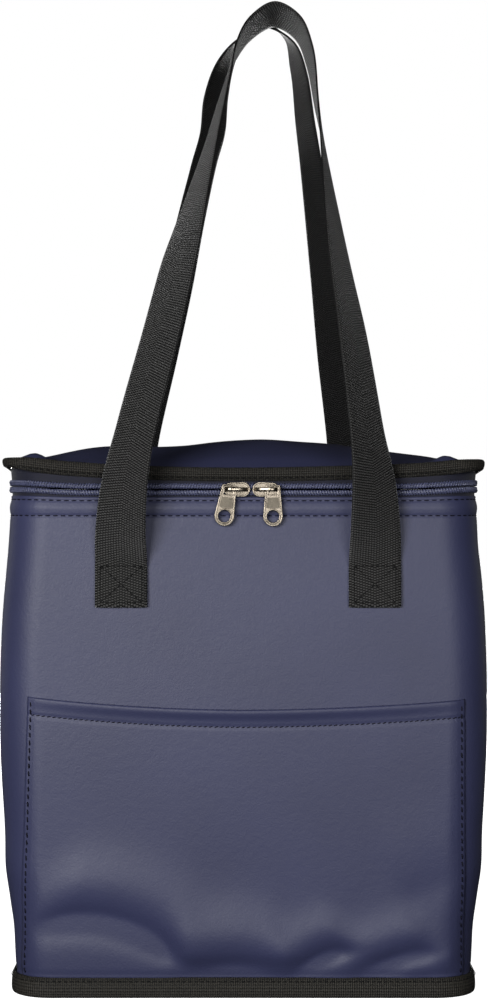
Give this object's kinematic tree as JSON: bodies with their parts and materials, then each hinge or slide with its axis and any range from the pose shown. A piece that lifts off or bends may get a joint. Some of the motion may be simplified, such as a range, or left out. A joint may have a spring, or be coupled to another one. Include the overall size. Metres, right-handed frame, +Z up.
{
  "type": "insulated cooler bag",
  "caption": "Soft insulated cooler bag with a zipped padded lid, webbing carrying handles front and back, and a front slip pocket.",
  "frame": {"origin": "centre of the base, on the surface that the bag stands on", "axes": "+Z up, -Y out of the front face with the pocket, +X to the right seen from the front"},
  "size_m": [0.2854, 0.2352, 0.5878],
  "materials": {
    "navy_pu": "matte soft grain",
    "black_grosgrain": "ribbed",
    "black_webbing": "herringbone weave",
    "stiffener": "matt",
    "foam": "matt closed cell",
    "foil_lining": "satin foil",
    "zip_tape": "woven",
    "zip_coil": "matt",
    "nickel": "polished nickel"
  },
  "bodies": {
    "bag": {"outer_wrap": "navy_pu", "outer_back": "navy_pu", "outer_base": "navy_pu", "base_binding": "black_grosgrain", "base_board": "stiffener", "foam_base": "foam", "foam_front": "foam", "foam_back": "foam", "foam_left": "foam", "foam_right": "foam", "lining_walls": "foil_lining", "lining_base": "foil_lining", "front_pocket": "navy_pu", "zip_tape_lower": "zip_tape", "zip_coil_lower": "zip_coil", "zip_end_stops": "navy_pu", "rear_hinge_strip": "navy_pu", "handle_front_ends": "black_webbing", "handle_back_ends": "black_webbing"},
    "lid": {"lid_panel": "navy_pu", "lid_foam": "foam", "lid_lining": "foil_lining", "lid_binding": "black_grosgrain", "zip_tape_upper": "zip_tape", "zip_coil_upper": "zip_coil"},
    "handle_front": {"handle_front_webbing": "black_webbing"},
    "handle_back": {"handle_back_webbing": "black_webbing"},
    "slider_left": {"slider_left": "nickel"},
    "slider_right": {"slider_right": "nickel"},
    "pull_left": {"pull_left": "nickel"},
    "pull_right": {"pull_right": "nickel"}
  },
  "joints": [
    {"name": "lid_hinge", "type": "hinge", "parent": "bag", "child": "lid", "pos_m": [0, 0.0862, 0.2982], "axis": [-1, 0, 0], "range_deg": [0, 70]},
    {"name": "handle_front_fold", "type": "hinge", "parent": "bag", "child": "handle_front", "pos_m": [0, -0.0899, 0.2521], "axis": [1, 0, 0], "range_deg": [0, 140]},
    {"name": "handle_back_fold", "type": "hinge", "parent": "bag", "child": "handle_back", "pos_m": [0, 0.0899, 0.2521], "axis": [-1, 0, 0], "range_deg": [0, 140]},
    {"name": "slider_left_slide", "type": "slide", "parent": "bag", "child": "slider_left", "axis": [-1, 0, 0], "range_m": [0, 0.095]},
    {"name": "slider_right_slide", "type": "slide", "parent": "bag", "child": "slider_right", "axis": [1, 0, 0], "range_m": [0, 0.088]},
    {"name": "pull_left_lift", "type": "hinge", "parent": "slider_left", "child": "pull_left", "pos_m": [-0.00795, -0.0898, 0.2953], "axis": [-0.9848, 0, 0.1736], "range_deg": [0, 120]},
    {"name": "pull_right_lift", "type": "hinge", "parent": "slider_right", "child": "pull_right", "pos_m": [0.01695, -0.0898, 0.2953], "axis": [-1, 0, 0], "range_deg": [0, 120]}
  ]
}
